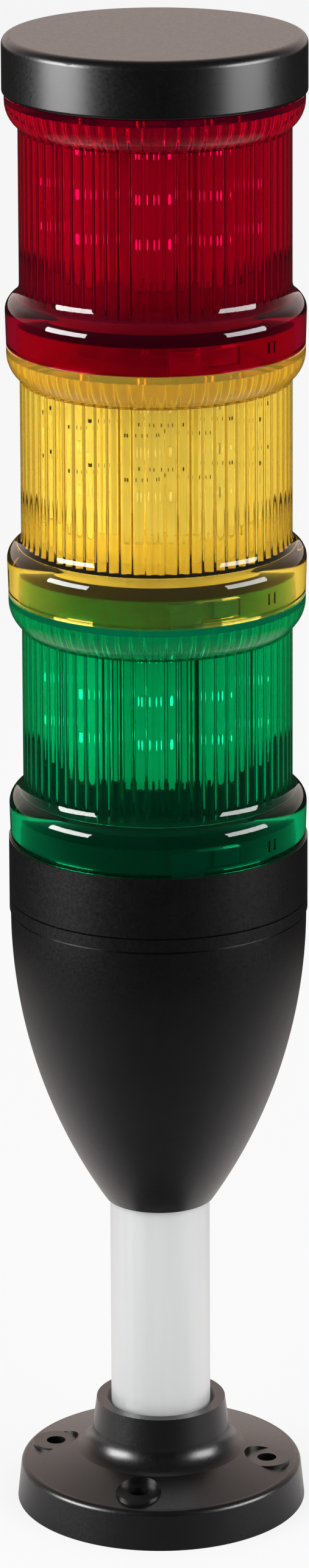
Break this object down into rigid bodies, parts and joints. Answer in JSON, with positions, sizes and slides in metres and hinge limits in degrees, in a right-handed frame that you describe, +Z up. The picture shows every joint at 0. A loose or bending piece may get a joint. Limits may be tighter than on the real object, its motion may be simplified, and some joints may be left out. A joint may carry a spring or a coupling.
{
  "type": "stack light",
  "caption": "Signal tower with red, yellow and green lenses on a black base, carried by a pale tube on a round screw-down foot.",
  "frame": {"origin": "middle of the foot's underside, on the surface the foot is screwed to", "axes": "+Z up the tower; two of the foot's screw holes lie on X and two on Y; the view in the picture comes from between -Y and +X, 12 degrees from -Y"},
  "size_m": [0.0744, 0.0744, 0.3769],
  "materials": {
    "black_plastic": "satin black moulding with a faint fine grain",
    "rubber": "soft matt black rubber",
    "tube_metal": "pale satin anodised tube",
    "nut_plastic": "dark grey moulded nut",
    "steel": "zinc-plated screws",
    "brass": "bright contact brass",
    "terminal_plastic": "grey moulded terminal block",
    "board": "white solder-masked circuit board",
    "driver": "green solder-masked circuit board",
    "led": "clear light chips",
    "chassis_dark": "black moulded floor",
    "chassis_light": "pale moulded floor",
    "red_lens": "clear tinted red, polished, ribbed inside",
    "yellow_lens": "clear tinted yellow, polished, ribbed inside",
    "green_lens": "clear tinted green, polished, ribbed inside"
  },
  "bodies": {
    "base": {"foot": "black_plastic", "foot_gasket": "rubber", "tube": "tube_metal", "tube_nut": "nut_plastic", "tube_seal": "rubber", "base_housing": "black_plastic", "base_ring": "black_plastic", "housing_seal": "rubber", "base_screws": "steel", "terminal_block": "terminal_plastic", "terminal_clamps": "brass", "terminal_screws": "steel", "base_contact_pads": "brass"},
    "green_module": {"green_lens": "green_lens", "green_collar": "green_lens", "green_chassis": "chassis_dark", "green_light_boards": "board", "green_leds": "led", "green_driver_board": "driver", "green_bus_bars": "brass", "green_contact_pins": "brass", "green_seal": "rubber", "green_contact_pads": "brass"},
    "yellow_module": {"yellow_lens": "yellow_lens", "yellow_collar": "yellow_lens", "yellow_chassis": "chassis_light", "yellow_light_boards": "board", "yellow_leds": "led", "yellow_driver_board": "driver", "yellow_bus_bars": "brass", "yellow_contact_pins": "brass", "yellow_seal": "rubber", "yellow_contact_pads": "brass"},
    "red_module": {"red_lens": "red_lens", "red_collar": "red_lens", "red_chassis": "chassis_dark", "red_light_boards": "board", "red_leds": "led", "red_driver_board": "driver", "red_bus_bars": "brass", "red_contact_pins": "brass", "red_seal": "rubber", "red_contact_pads": "brass"},
    "cap": {"cap": "black_plastic", "cap_seal": "rubber"}
  },
  "joints": [
    {"name": "green_module_twist", "type": "hinge", "parent": "base", "child": "green_module", "pos_m": [0, 0, 0.1749], "axis": [0, 0, 1], "range_deg": [0, 16.5]},
    {"name": "yellow_module_twist", "type": "hinge", "parent": "green_module", "child": "yellow_module", "pos_m": [0, 0, 0.23755], "axis": [0, 0, 1], "range_deg": [0, 16.5]},
    {"name": "red_module_twist", "type": "hinge", "parent": "yellow_module", "child": "red_module", "pos_m": [0, 0, 0.3002], "axis": [0, 0, 1], "range_deg": [0, 16.5]},
    {"name": "cap_twist", "type": "hinge", "parent": "red_module", "child": "cap", "pos_m": [0, 0, 0.36285], "axis": [0, 0, 1], "range_deg": [0, 16.5]}
  ]
}
